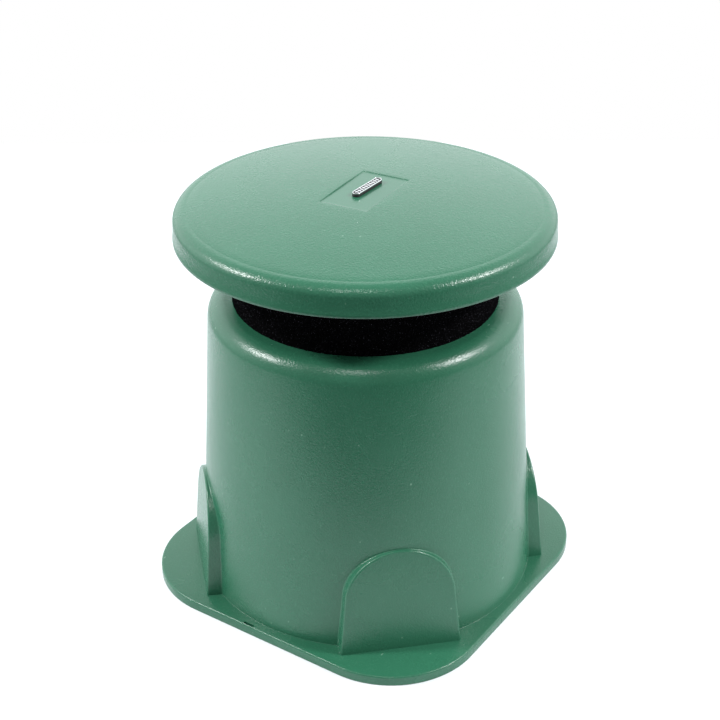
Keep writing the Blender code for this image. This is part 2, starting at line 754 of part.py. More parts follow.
def cap():
    """Domed cap with a rolled rim and four screw posts."""
    roll = arc((CAP_RIM_R, CAP_RIM - CAP_ROLL), (CAP_R - CAP_RIM_R - 0.8, CAP_ROLL), 90, 0, 4)
    outside = [(r, dome_height(r)) for r in (0, 36, 72, 108)] + roll
    outside += [(CAP_R - 0.3, CAP_LOW + 3.5), (CAP_R, CAP_LOW + 3), (CAP_R, CAP_LOW)]
    side = CAP_R - CAP_SHEET
    inside = [(side, CAP_LOW), (side - 0.8, 343), (152, 348)]
    inside += [(r, dome_height(r) - CAP_SHEET) for r in (147, 114, 76, 38, 0)]
    lid = turned("cap", outside + inside, green_plastic(), ROUND)
    posts = [polar(CAP_SCREW_R, a) for a in QUARTERS]
    join(lid, pins("cap_posts", posts, CAP_POST_R, CAGE_HIGH + 2.8, 358, 12))
    cut(lid, pins("cap_post_holes", posts, 2.1, CAGE_HIGH, 349))
    cut(lid, extruded("cap_recess", rectangle(*RECESS), RECESS_FLOOR, 370, turn=RECESS_TURN, at=RECESS_AT))
    return lid


def cap_screws():
    head = CAGE_HIGH - CAGE_RING - GAP
    outline = [(0, head - 2.6), (3.4, head - 2.3), (3.8, head), (1.8, head), (1.8, 346), (0, 347.3)]
    screw_mesh_copies("cap_screw", outline, [polar(CAP_SCREW_R, a) for a in QUARTERS], zinc_steel())


def badge():
    """Blank name plate: a black bar with a bright rim on top."""
    low = RECESS_FLOOR + GAP
    high = low + PLATE_THICK
    extruded("badge_plate", stadium(*BADGE, 6), low, high, black_plastic(), BADGE_TURN, BADGE_AT)
    low = high + GAP
    high = low + RIM_HIGH
    rim = extruded("badge_rim", stadium(*BADGE, 6), low, high, chrome(), BADGE_TURN, BADGE_AT)
    window = stadium(BADGE[0] - 2 * RIM_WIDE, BADGE[1] - 2 * RIM_WIDE, 6)
    cut(rim, extruded("badge_window", window, low - 1, high + 1, turn=BADGE_TURN, at=BADGE_AT))


def build():
    clear_scene()
    housing()
    base_plate()
    wells()
    base_gasket()
    base_screws()
    cable_gland()
    tap_selector()
    transformer()
    wiring()
    driver_basket()
    driver_gasket()
    magnet_system()
    spider()
    surround()
    diaphragm()
    terminal_strip()
    driver_screws()
    cage()
    foam_sleeve()
    diffuser()
    cap()
    cap_screws()
    badge()


build()
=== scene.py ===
"""Looks for the garden loudspeaker.

The housing, cap, foam, name plate, spider and tinsel leads get finer meshes, every other CAD node
keeps its own, and all of them get finished materials in a plain studio.
"""
import json
import math

import bmesh
import bpy
from mathutils import Matrix, Quaternion, Vector, noise


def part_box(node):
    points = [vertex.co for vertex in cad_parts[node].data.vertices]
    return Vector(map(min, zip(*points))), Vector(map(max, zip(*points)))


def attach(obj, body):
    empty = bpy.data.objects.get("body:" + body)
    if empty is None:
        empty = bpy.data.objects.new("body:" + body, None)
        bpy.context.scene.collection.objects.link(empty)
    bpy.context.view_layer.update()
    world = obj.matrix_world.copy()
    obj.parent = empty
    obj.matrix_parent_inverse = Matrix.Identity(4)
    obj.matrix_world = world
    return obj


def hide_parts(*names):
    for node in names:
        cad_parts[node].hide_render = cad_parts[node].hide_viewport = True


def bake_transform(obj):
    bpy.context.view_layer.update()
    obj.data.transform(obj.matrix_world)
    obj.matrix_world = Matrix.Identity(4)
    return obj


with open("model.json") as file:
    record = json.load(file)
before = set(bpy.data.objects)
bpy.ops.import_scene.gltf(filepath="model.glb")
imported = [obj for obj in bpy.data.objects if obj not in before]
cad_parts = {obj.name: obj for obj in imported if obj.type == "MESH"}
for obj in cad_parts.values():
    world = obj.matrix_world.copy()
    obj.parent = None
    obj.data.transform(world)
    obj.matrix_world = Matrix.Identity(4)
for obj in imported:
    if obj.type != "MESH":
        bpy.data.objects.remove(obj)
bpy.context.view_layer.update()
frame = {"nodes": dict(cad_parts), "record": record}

MM = 0.001
COLUMNS = 360                      # points round a dense shell
TINY = 1e-9                        # keeps a division from reaching zero
CREASE = 40                        # degrees, an edge this sharp stays sharp in the shading

# Housing: tapered wall on a rounded square flange, with four arched bosses
HOUSING_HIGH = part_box("housing")[1]
FLANGE_HALF = HOUSING_HIGH.x
FLANGE_CORNER = 82.0 * MM
FLANGE_TOP = 9.2 * MM
WALL = 4.0 * MM
FLANGE_UNDER = FLANGE_TOP - WALL
FLANGE_HOLE_R = 149.0 * MM         # the plate's hole, hidden inside the wall
SKIRT_DEPTH = 6.0 * MM             # how far in the skirt's section is followed
BODY_TOP = HOUSING_HIGH.z
BODY_R_BASE = 151.0 * MM
BODY_R_TOP = 134.3 * MM
SHOULDER = 16.5 * MM
FOOT_FILLET = 0.4 * MM
FOOT_REACH = 3.2 * MM              # how far the wall's foot reaches out into the plate
FOOT_SINK = 0.02 * MM              # keeps the foot's top just under the plate's face
WALL_STEP = 12.0 * MM              # longest face along the wall
TOP_PLATE = 6.0 * MM
MOUTH_R = 90.0 * MM
BOSS_FACE_BASE = 155.2 * MM
BOSS_FACE_TOP = 147.6 * MM
BOSS_TOP = 105.0 * MM
BOSS_HALF_BASE = 52.6 * MM
BOSS_HALF_ARCH = 47.5 * MM
BOSS_LOW = FLANGE_TOP - 2.0 * MM   # a boss starts inside the flange's plate
BOSS_EDGE = 1.7 * MM
BOSS_FILLET = 1.2 * MM
BOSS_ROOT = 134.0 * MM             # where a boss closes, inside the wall
BOSS_SINK = 0.03 * MM              # keeps the fillet's end just under the wall's face
BOSS_SIDE_STEPS = 13
BOSS_ARCH_STEPS = 48
DRAIN_AT = Vector((-17.3, -157.2, 0)) * MM
DRAIN_SIZE = (11.0 * MM, 2.4 * MM)
DRAIN_FLOOR = 3.2 * MM
DRAIN_CUT_TOP = 12.0 * MM          # the cutter's top, above the plate
BASE_POSTS = 8
BASE_POST_CIRCLE = 141.5 * MM
BASE_POST_TOP = 28.0 * MM

# Cap: dome, groove, rolled rim, flared side and lip
CAP_LOW, CAP_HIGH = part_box("cap")
CAP_R = CAP_HIGH.x
CAP_RIM = 354.5 * MM
CAP_RIM_R = 147.7 * MM
CAP_CROWN = CAP_RIM + 10.2 * MM
CAP_SHEET = 3.5 * MM
CAP_ROLL_DROP = 9.2 * MM
CAP_ROLL_INSET = 0.9 * MM
CAP_POSTS = 4
CAP_POST_CIRCLE = 99.5 * MM
CAP_POST_LOW = 333.8 * MM
CAP_POST_TOP = 357.6 * MM
POST_SIDES = 24

# Recess and name plate
RECESS_HALF = (37.0 * MM, 21.7 * MM)
RECESS_FLOOR = 363.3 * MM
RECESS_TURN = math.radians(95.3)
RECESS_AT = Vector((-1.0, 1.5, 0)) * MM
RECESS_ROUND = 60.0 * MM           # outside this radius the cap's rows are circles
PLATE_LOW, PLATE_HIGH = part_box("badge_plate")
RIM_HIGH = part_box("badge_rim")[1]
BADGE_LENGTH = 39.5 * MM
BADGE_WIDTH = 7.0 * MM
BADGE_TURN = math.radians(91.0)
BADGE_AT = (PLATE_LOW + PLATE_HIGH) / 2
RIBS = 10
RIB_PITCH = 3.4 * MM
RIB_LENGTH = 3.6 * MM
RIB_WIDTH = 1.5 * MM

# Foam sleeve
FOAM_LOW, FOAM_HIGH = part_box("foam_sleeve")
FOAM_SHEET = 6.0 * MM
FOAM_COLUMNS = 720
FOAM_ROWS = 68
FOAM_PITS = ((520, 0.35), (1100, 0.25))    # noise cells per metre, and their depth in millimetres
FOAM_INSET = 0.35 * MM

# Driver's spider and tinsel leads
SPIDER_LOW, SPIDER_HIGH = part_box("spider")
SPIDER_SHEET = 0.6 * MM
SPIDER_NECK = 16.4 * MM
SPIDER_FLAT = (2.6 * MM, 4.5 * MM)         # flat rings at the neck and at the rim
SPIDER_WAVE = 1.0 * MM
SPIDER_PITCH = 6.0 * MM
SPIDER_WAVE_STEPS = 8
SPIDER_TURN_STEPS = 18
SPIDER_QUARTERS = 4
# The positive lead's middle line in millimetres, from its tag to the cone; the other lead mirrors it in Y
LEAD_ROUTE = ((-54, 6, 225), (-58, 6, 226.5), (-65, 6, 233), (-64, 6, 243), (-50, 6, 248), (-37, 6, 247.4))
LEAD_R = 0.6 * MM


# ---------------------------------------------------------------- camera, light and floor

CAMERA_AZIMUTH = math.radians(34.21)
CAMERA_ELEVATION = math.radians(31.65)
CAMERA_DISTANCE = 1347.2 * MM
CAMERA_PIVOT = Vector((0, 0, 144.0 * MM))
CAMERA_AIM_HEIGHT = 204.6 * MM
CAMERA_AIM_SIDE = -5.0 * MM
CAMERA_LENS = 75.2
CAMERA_ROLL = math.radians(-0.41)
TENT_COLOUR = (0.93, 0.985, 1.0, 1)
TENT_BACK = 1.85                   # the tent's strength behind the object
TENT_FRONT = 0.30                  # and on the camera's side
TENT_FADE = (-0.35, 0.75)          # from back to front, as the cosine to the camera's side
TENT_BELOW = 0.3                   # share that is left below the floor
TENT_BELOW_FADE = (-0.25, 0.0)     # heights of the direction between which that share sets in
TENT_ZENITH = 0.35                 # share that is left straight above
TENT_ZENITH_FADE = (0.6, 0.9)
FLOOR_SIZE = 1.5
FLOOR_NEAR = 0.45                  # from the object's axis to the table's near edge
FLOOR_DROP = 0.2 * MM
FLOOR_GLOW = 0.35
SOFTBOX_AIM = Vector((0, 0, 0.25))
# name, (toward the camera, to its right, up) in metres, sides in metres, watts
SOFTBOXES = (
    ("softbox_left", (0.15, -1.9, 1.7), (0.2, 0.3), 45),
    ("softbox_right", (0.45, 1.8, 1.6), (0.38, 0.24), 42),
    ("softbox_front", (1.3, -0.3, 2.4), (0.25, 0.2), 13),
)


def add_camera():
    """The camera, and the level directions toward it and to its right."""
    flat = Vector((math.sin(CAMERA_AZIMUTH), -math.cos(CAMERA_AZIMUTH), 0))
    side = Vector((math.cos(CAMERA_AZIMUTH), math.sin(CAMERA_AZIMUTH), 0))
    back = flat * math.cos(CAMERA_ELEVATION) + Vector((0, 0, math.sin(CAMERA_ELEVATION)))
    data = bpy.data.cameras.new("camera")
    data.lens = CAMERA_LENS
    camera = bpy.data.objects.new("camera", data)
    camera.location = CAMERA_PIVOT + back * CAMERA_DISTANCE
    aim = side * CAMERA_AIM_SIDE + Vector((0, 0, CAMERA_AIM_HEIGHT))
    look = (aim - camera.location).to_track_quat("-Z", "Y")
    camera.rotation_mode = "QUATERNION"
    camera.rotation_quaternion = look @ Quaternion((0, 0, 1), CAMERA_ROLL)
    bpy.context.scene.collection.objects.link(camera)
    bpy.context.scene.camera = camera
    return flat, side


def add_softbox(name, spot, size, power):
    data = bpy.data.lights.new(name, "AREA")
    data.shape = "RECTANGLE"
    data.size, data.size_y = size
    data.energy = power
    lamp = bpy.data.objects.new(name, data)
    lamp.location = spot
    lamp.rotation_mode = "QUATERNION"
    lamp.rotation_quaternion = (SOFTBOX_AIM - spot).to_track_quat("-Z", "Y")
    bpy.context.scene.collection.objects.link(lamp)


def map_range(tree, value, span, low, high):
    """A map range node from span to (low, high)."""
    node = tree.nodes.new("ShaderNodeMapRange")
    node.inputs["From Min"].default_value = span[0]
    node.inputs["From Max"].default_value = span[1]
    node.inputs["To Min"].default_value = low
    node.inputs["To Max"].default_value = high
    tree.links.new(value, node.inputs["Value"])
    return node


def add_world(toward_camera):
    """A white tent that is dark on the camera's side and overhead, and plain white where it is seen."""
    world = bpy.data.worlds.new("studio")
    bpy.context.scene.world = world
    world.use_nodes = True
    tree = world.node_tree
    tree.nodes.clear()
    output = tree.nodes.new("ShaderNodeOutputWorld")
    coords = tree.nodes.new("ShaderNodeTexCoord")
    dot = tree.nodes.new("ShaderNodeVectorMath")
    dot.operation = "DOT_PRODUCT"
    dot.inputs[1].default_value = toward_camera
    tree.links.new(coords.outputs["Generated"], dot.inputs[0])
    fade = map_range(tree, dot.outputs["Value"], TENT_FADE, TENT_BACK, TENT_FRONT)
    fade.interpolation_type = "SMOOTHSTEP"
    tent = tree.nodes.new("ShaderNodeBackground")
    seen = tree.nodes.new("ShaderNodeBackground")
    tent.inputs["Color"].default_value = TENT_COLOUR
    seen.inputs["Color"].default_value = (1, 1, 1, 1)
    path = tree.nodes.new("ShaderNodeLightPath")
    mix = tree.nodes.new("ShaderNodeMixShader")
    axes = tree.nodes.new("ShaderNodeSeparateXYZ")
    tree.links.new(coords.outputs["Generated"], axes.inputs[0])
    below = map_range(tree, axes.outputs["Z"], TENT_BELOW_FADE, TENT_BELOW, 1.0)
    above = map_range(tree, axes.outputs["Z"], TENT_ZENITH_FADE, 1.0, TENT_ZENITH)
    strength = fade.outputs["Result"]
    for share in (below, above):
        product = tree.nodes.new("ShaderNodeMath")
        product.operation = "MULTIPLY"
        tree.links.new(strength, product.inputs[0])
        tree.links.new(share.outputs["Result"], product.inputs[1])
        strength = product.outputs[0]
    tree.links.new(strength, tent.inputs["Strength"])
    tree.links.new(path.outputs["Is Camera Ray"], mix.inputs["Fac"])
    tree.links.new(tent.outputs[0], mix.inputs[1])
    tree.links.new(seen.outputs[0], mix.inputs[2])
    tree.links.new(mix.outputs[0], output.inputs["Surface"])


def add_floor(flat):
    """A pale table whose near edge ends a little in front of the object."""
    bpy.ops.mesh.primitive_plane_add(size=FLOOR_SIZE, rotation=(0, 0, CAMERA_AZIMUTH))
    floor = bpy.context.object
    floor.location = flat * (FLOOR_NEAR - FLOOR_SIZE / 2) - Vector((0, 0, FLOOR_DROP))
    floor.name = "floor"
    floor.data.materials.append(floor_material())


def set_stage():
    flat, side = add_camera()
    add_world(flat)
    for name, (near, right, height), size, power in SOFTBOXES:
        add_softbox(name, flat * near + side * right + Vector((0, 0, height)), size, power)
    add_floor(flat)
    view = bpy.context.scene.view_settings
    view.view_transform = "Standard"
    view.look = "None"


# ---------------------------------------------------------------- material tools

class Nodes:
    """Short calls for building one material's node tree."""

    def __init__(self, name):
        self.material = bpy.data.materials.new(name)
        self.material.use_nodes = True
        self.tree = self.material.node_tree
        self.shader = self.tree.nodes["Principled BSDF"]
        coords = self.tree.nodes.new("ShaderNodeTexCoord")
        self.place = coords.outputs["Object"]

    def set(self, **values):
        for key, value in values.items():
            self.shader.inputs[key.replace("_", " ")].default_value = value

    def link(self, output, socket):
        self.tree.links.new(output, socket)

    def stretched(self, scale):
        """Object coordinates with each axis scaled."""
        mapping = self.tree.nodes.new("ShaderNodeMapping")
        mapping.inputs["Scale"].default_value = scale
        self.link(self.place, mapping.inputs["Vector"])
        return mapping.outputs["Vector"]

    def noise(self, size, detail=2.0, roughness=0.5, place=None):
        """Noise whose features are about size metres."""
        node = self.tree.nodes.new("ShaderNodeTexNoise")
        node.inputs["Scale"].default_value = 1 / size
        node.inputs["Detail"].default_value = detail
        node.inputs["Roughness"].default_value = roughness
        self.link(place or self.place, node.inputs["Vector"])
        return node.outputs["Fac"]

    def cells(self, size, feature="F1", place=None):
        """Cells about size metres across."""
        node = self.tree.nodes.new("ShaderNodeTexVoronoi")
        node.feature = feature
        node.inputs["Scale"].default_value = 1 / size
        self.link(place or self.place, node.inputs["Vector"])
        return node.outputs["Distance"]

    def waves(self, size, direction="Z", distortion=0.0):
        """Bands that repeat every size metres; Blender's wave repeats every pi / 10 at scale 1."""
        node = self.tree.nodes.new("ShaderNodeTexWave")
        node.bands_direction = direction
        node.inputs["Scale"].default_value = 0.314 / size
        node.inputs["Distortion"].default_value = distortion
        self.link(self.place, node.inputs["Vector"])
        return node.outputs["Fac"]

    def ramp(self, value, stops):
        """Map a value to colours; stops are (position, colour)."""
        node = self.tree.nodes.new("ShaderNodeValToRGB")
        elements = node.color_ramp.elements
        while len(elements) < len(stops):
            elements.new(0.5)
        for element, (position, colour) in zip(elements, stops):
            element.position = position
            element.color = (*colour, 1)
        self.link(value, node.inputs["Fac"])
        return node.outputs["Color"]

    def math(self, operation, a, b):
        node = self.tree.nodes.new("ShaderNodeMath")
        node.operation = operation
        for socket, value in zip(node.inputs, (a, b)):
            if isinstance(value, (int, float)):
                socket.default_value = value
            else:
                self.link(value, socket)
        return node.outputs[0]

    def remap(self, value, low, high, start=0.0, end=1.0):
        """Map a value between start and end to low and high."""
        return map_range(self.tree, value, (start, end), low, high).outputs["Result"]

    def mix(self, factor, a, b):
        """Mix an output with a plain colour."""
        node = self.tree.nodes.new("ShaderNodeMix")
        node.data_type = "RGBA"
        sockets = [s for s in node.inputs if s.enabled]
        for socket, value in zip(sockets, (factor, a)):
            self.link(value, socket)
        sockets[2].default_value = (*b, 1)
        return [s for s in node.outputs if s.enabled][0]

    def bump(self, height, distance, strength=1.0, under=None):
        node = self.tree.nodes.new("ShaderNodeBump")
        node.inputs["Distance"].default_value = distance
        node.inputs["Strength"].default_value = strength
        self.link(height, node.inputs["Height"])
        if under:
            self.link(under, node.inputs["Normal"])
        return node.outputs["Normal"]

    def colour(self, output):
        self.link(output, self.shader.inputs["Base Color"])

    def rough(self, output):
        self.link(output, self.shader.inputs["Roughness"])

    def normal(self, output):
        self.link(output, self.shader.inputs["Normal"])


# ---------------------------------------------------------------- materials

def floor_material():
    n = Nodes("floor_white")
    n.colour(n.ramp(n.noise(0.8), [(0.3, (0.60, 0.635, 0.665)), (0.7, (0.62, 0.65, 0.68))]))
    n.set(Roughness=0.9, Specular_IOR_Level=0.1, Emission_Color=(1, 1, 1, 1), Emission_Strength=FLOOR_GLOW)
    return n.material


def green_plastic(name="green_plastic_grain", grain=1.1, rough=0.27, gloss=0.47, size=1.0):
    """Moulded green plastic: pebbled grain, faint clouds, sparse pale scuffs."""
    n = Nodes(name)
    pebble_size = 1.6 * MM * size
    pitting_size = 1.1 * MM * size
    cloud = n.noise(0.09, 4.0, 0.6)
    base = n.ramp(cloud, [(0.3, (0.0205, 0.118, 0.064)), (0.7, (0.0255, 0.133, 0.075))])
    speck = n.noise(pebble_size, 1.0)
    base = n.mix(n.remap(speck, 0.0, 0.20 * grain, 0.55, 0.80), base, (0.065, 0.23, 0.14))
    fleck = n.remap(n.cells(0.008, "F1", n.stretched((1.0, 0.35, 0.6))), 1, 0, 0.05, 0.09)
    scuff = n.math("MULTIPLY", fleck, n.remap(n.noise(0.05, 1.0), 0, 1, 0.56, 0.60))
    n.colour(n.mix(n.math("MULTIPLY", scuff, 0.35), base, (0.30, 0.50, 0.38)))
    n.rough(n.remap(cloud, rough - 0.03, rough + 0.03))
    pebble = n.bump(n.cells(pebble_size, "SMOOTH_F1"), 0.12 * MM * size, 0.9 * grain)
    n.normal(n.bump(n.noise(pitting_size, 2.0, 0.6), 0.18 * MM * size, 0.9 * grain, pebble))
    n.set(IOR=1.5, Specular_IOR_Level=gloss)
    return n.material


def foam():
    """Open-cell black foam: pore middles painted darker as shade in the holes, and a few painted glints on
    the strands.
    """
    n = Nodes("foam_open_cell")
    pores = n.cells(0.0016, "F1")
    strands = n.cells(0.0012, "DISTANCE_TO_EDGE")
    painted_glint = n.noise(0.0007, 1.0)
    # painted shade: the colour darkens away from the strands, towards the middle of each pore
    base = n.ramp(strands, [(0.0, (0.004, 0.0038, 0.0042)), (0.25, (0.0006, 0.0006, 0.0007))])
    # painted glints: pale specks mixed into the colour, since the foam's own gloss is off
    n.colour(n.mix(n.remap(painted_glint, 0.0, 0.9, 0.68, 0.76), base, (0.12, 0.115, 0.14)))
    n.normal(n.bump(pores, 0.9 * MM, 0.8))
    n.set(Roughness=0.95, Specular_IOR_Level=0.0)
    return n.material


def moulded(name, dark, light, rough, grain=0.0008):
    """Plain moulded plastic or rubber with a fine grain and slight clouds."""
    n = Nodes(name)
    cloud = n.noise(0.03, 3.0, 0.6)
    n.colour(n.ramp(cloud, [(0.3, dark), (0.7, light)]))
    n.rough(n.remap(cloud, rough - 0.06, rough + 0.06))
    n.normal(n.bump(n.noise(grain, 2.0), 0.05 * MM, 0.5))
    return n.material


def plated(name, dark, light, rough, metallic=1.0):
    """Metal with faint machining marks and uneven gloss."""
    n = Nodes(name)
    n.set(Metallic=metallic)
    marks = n.noise(0.0009, 2.0, 0.6, n.stretched((0.3, 0.3, 4.0)))
    cloud = n.noise(0.012, 3.0)
    n.colour(n.ramp(cloud, [(0.3, dark), (0.7, light)]))
    n.rough(n.remap(marks, rough - 0.07, rough + 0.09))
    n.normal(n.bump(marks, 0.03 * MM, 0.35))
    return n.material


def woven(name, dark, light, size):
    """Resin-dipped weave for the spider."""
    n = Nodes(name)
    threads = n.math("MULTIPLY", n.waves(size, "X"), n.waves(size, "Y"))
    n.colour(n.ramp(threads, [(0.1, dark), (0.7, light)]))
    n.rough(n.remap(n.noise(0.004), 0.75, 0.95))
    n.normal(n.bump(threads, 0.15 * MM, 0.7))
    return n.material


def pressed_paper():
    n = Nodes("cone_pulp")
    fibres = n.noise(0.0022, 6.0, 0.75)
    n.colour(n.ramp(fibres, [(0.3, (0.018, 0.018, 0.02)), (0.75, (0.06, 0.058, 0.056))]))
    n.rough(n.remap(fibres, 0.75, 0.95))
    n.normal(n.bump(fibres, 0.2 * MM, 0.6))
    return n.material


def wound(name, dark, light, pitch, rough, metallic=0.0):
    """Turns of wire or tape, stacked along Z."""
    n = Nodes(name)
    n.set(Metallic=metallic)
    turns = n.waves(pitch, "Z", 0.4)
    n.colour(n.ramp(turns, [(0.15, dark), (0.75, light)]))
    n.rough(n.remap(n.noise(0.003), rough - 0.08, rough + 0.08))
    n.normal(n.bump(turns, 0.15 * MM, 0.7))
    return n.material


def material_set():
    """One finished material for each of the record's slots."""
    return {
        "green_plastic": green_plastic(),
        "cap_top": green_plastic("green_plastic_cap", 1.25, size=1.2),
        "recess_floor": green_plastic("green_plastic_smooth", 0.3, 0.22, 0.6),
        "black_plastic": moulded("black_plastic_grain", (0.016, 0.016, 0.018), (0.026, 0.026, 0.028), 0.46),
        "badge_black": moulded("name_plate_black", (0.004, 0.004, 0.005), (0.008, 0.008, 0.009), 0.6),
        "foam": foam(),
        "rubber": moulded("rubber_matt", (0.013, 0.013, 0.013), (0.024, 0.023, 0.022), 0.78, 0.0004),
        "zinc_steel": plated("zinc_plating", (0.50, 0.50, 0.48), (0.66, 0.66, 0.67), 0.32),
        "chrome": plated("chrome_plating", (0.78, 0.78, 0.80), (0.90, 0.90, 0.91), 0.13),
        "black_steel": plated("black_coated_steel", (0.022, 0.022, 0.024), (0.036, 0.036, 0.038), 0.42, 0.3),
        "ferrite": moulded("ferrite_ground", (0.045, 0.045, 0.048), (0.075, 0.074, 0.076), 0.6, 0.0003),
        "cone_paper": pressed_paper(),
        "spider_cloth": woven("spider_weave", (0.20, 0.10, 0.02), (0.50, 0.32, 0.10), 0.7 * MM),
        "coil_tape": wound("coil_wrap", (0.36, 0.25, 0.05), (0.62, 0.48, 0.15), 2.0 * MM, 0.5),
        "copper": wound("copper_turns", (0.45, 0.17, 0.07), (0.80, 0.38, 0.18), 0.4 * MM, 0.35, 1.0),
        "lead_red": moulded("lead_sleeve_red", (0.42, 0.02, 0.015), (0.55, 0.04, 0.03), 0.45),
        "lead_black": moulded("lead_sleeve_black", (0.012, 0.012, 0.013), (0.022, 0.022, 0.024), 0.45),
    }


# ---------------------------------------------------------------- mesh tools

def linked(name, mesh):
    """An object for the mesh, in the scene."""
    item = bpy.data.objects.new(name, mesh)
    bpy.context.scene.collection.objects.link(item)
    return item


def new_object(bm, name, sharp=CREASE):
    """A mesh object from a bmesh, faces outward, smooth except at sharp edges."""
    bmesh.ops.recalc_face_normals(bm, faces=bm.faces)
    mesh = bpy.data.meshes.new(name)
    bm.to_mesh(mesh)
    bm.free()
    mesh.shade_smooth()
    mesh.set_sharp_from_angle(angle=math.radians(sharp))
    return linked(name, mesh)


def evaluated_mesh(item):
    """A new mesh from the object with its modifiers or curve applied."""
    depsgraph = bpy.context.evaluated_depsgraph_get()
    return bpy.data.meshes.new_from_object(item.evaluated_get(depsgraph))


def bridge(bm, first, second):
    """Quads between two rows of vertices, or triangles where one row is a pole."""
    count = max(len(first), len(second))
    for k in range(count):
        n = (k + 1) % count
        if len(first) == 1:
            bm.faces.new((first[0], second[n], second[k]))
        elif len(second) == 1:
            bm.faces.new((first[k], first[n], second[0]))
        else:
            bm.faces.new((first[k], first[n], second[n], second[k]))


def skin_into(bm, loops, ring=False, caps=False):
    """Skin a list of closed loops; ring joins the last loop to the first, caps closes both ends."""
    rows = [[bm.verts.new(p) for p in loop] for loop in loops]
    for first, second in zip(rows, rows[1:]):
        bridge(bm, first, second)
    if ring:
        bridge(bm, rows[-1], rows[0])
    if caps:
        bm.faces.new(rows[0])
        bm.faces.new(rows[-1])


def circle(radius, z, columns=COLUMNS, at=(0, 0)):
    turn = 2 * math.pi / columns
    return [Vector((at[0] + radius * math.cos(k * turn), at[1] + radius * math.sin(k * turn), z))
            for k in range(columns)]


def turned_ring(name, profile, columns=COLUMNS, at=(0, 0)):
    """A solid of revolution from a closed (radius, height) profile."""
    bm = bmesh.new()
    skin_into(bm, [circle(r, z, columns, at) for r, z in profile], ring=True)
    return new_object(bm, name)


def screw_post(profile, circle_r, angle):
    """A small turned post on a circle round the axis."""
    at = (circle_r * math.cos(angle), circle_r * math.sin(angle))
    return turned_ring("post", profile, POST_SIDES, at)


def rounded(corners, steps=6):
    """A path of (across, height, radius) corners, with each corner that has a radius made an arc."""
    points = [Vector(corners[0][:2])]
    for before, here, after in zip(corners, corners[1:], corners[2:]):
        spot = Vector(here[:2])
        a = (Vector(before[:2]) - spot).normalized()
        b = (Vector(after[:2]) - spot).normalized()
        angle = a.angle(b)
        if here[2] == 0 or angle > math.radians(178):
            points.append(spot)
            continue
        reach = here[2] / math.tan(angle / 2)
        centre = spot + (a + b).normalized() * here[2] / math.sin(angle / 2)
        start = spot + a * reach - centre
        end = spot + b * reach - centre
        sweep = start.angle_signed(end)
        for k in range(steps + 1):
            t = -sweep * k / steps
            turned = Vector((start.x * math.cos(t) - start.y * math.sin(t),
                             start.x * math.sin(t) + start.y * math.cos(t)))
            points.append(centre + turned)
    points.append(Vector(corners[-1][:2]))
    return [(p.x, p.y) for p in points]


def square_loop(half, corner, z):
    """A rounded square, one point for each column's direction."""
    loop = []
    inner = half - corner
    for k in range(COLUMNS):
        angle = 2 * math.pi * k / COLUMNS
        c, s = math.cos(angle), math.sin(angle)
        reach = half / max(abs(c), abs(s))
        x, y = reach * c, reach * s
        if min(abs(x), abs(y)) > inner:
            along = inner * (abs(c) + abs(s))
            reach = along + math.sqrt(along ** 2 - 2 * inner ** 2 + corner ** 2)
            x, y = reach * c, reach * s
        loop.append(Vector((x, y, z)))
    return loop


def apply_cut(piece, cutter):
    """Cut the piece, and remove the cutter."""
    step = piece.modifiers.new("cut", "BOOLEAN")
    step.operation = "DIFFERENCE"
    step.object = cutter
    mesh = evaluated_mesh(piece)
    piece.modifiers.clear()
    piece.data = mesh
    bpy.data.objects.remove(cutter, do_unlink=True)


def joined(name, pieces):
    """One object from several, which are removed."""
    bm = bmesh.new()
    for piece in pieces:
        bm.from_mesh(piece.data)
        bpy.data.objects.remove(piece, do_unlink=True)
    mesh = bpy.data.meshes.new(name)
    bm.to_mesh(mesh)
    bm.free()
    mesh.shade_smooth()
    mesh.set_sharp_from_angle(angle=math.radians(CREASE))
    return linked(name, mesh)


def stadium(length, width, steps=12):
    """A level outline with straight sides and round ends, long along X."""
    r = width / 2
    x = length / 2 - r
    points = []
    for centre, start in ((x, -90), (-x, 90)):
        for k in range(steps + 1):
            angle = math.radians(start + 180 * k / steps)
            points.append(Vector((centre + r * math.cos(angle), r * math.sin(angle))))
    return points


# ---------------------------------------------------------------- housing

def body_radius(z):
    """The wall's outer radius at a height."""
    share = (z - FLANGE_TOP) / (BODY_TOP - FLANGE_TOP)
    return BODY_R_BASE + (BODY_R_TOP - BODY_R_BASE) * share


def tapered_body():
    """The tapered wall, its round shoulder, the top plate with the mouth, and the inner side."""
    inside_top = BODY_TOP - TOP_PLATE
    corners = [
        (BODY_R_BASE + FOOT_REACH, FLANGE_TOP - FOOT_SINK, 0),
        (body_radius(FLANGE_TOP), FLANGE_TOP - FOOT_SINK, FOOT_FILLET),
        (body_radius(BODY_TOP), BODY_TOP, SHOULDER),
        (MOUTH_R, BODY_TOP, 1.0 * MM),
        (MOUTH_R, inside_top, 0.4 * MM),
        (body_radius(inside_top) - WALL, inside_top, SHOULDER - WALL),
        (body_radius(FLANGE_UNDER) - WALL, FLANGE_UNDER, 0),
        (BODY_R_BASE + 2 * MM, FLANGE_UNDER, 0),
        (BODY_R_BASE + FOOT_REACH, FLANGE_TOP - 1 * MM, 0),
    ]
    profile = rounded(corners, 14)
    dense = []
    for (r0, z0), (r1, z1) in zip(profile, profile[1:]):
        parts = max(1, int(math.hypot(r1 - r0, z1 - z0) / WALL_STEP))
        dense += [(r0 + (r1 - r0) * k / parts, z0 + (z1 - z0) * k / parts) for k in range(parts)]
    return turned_ring("tapered_body", dense)


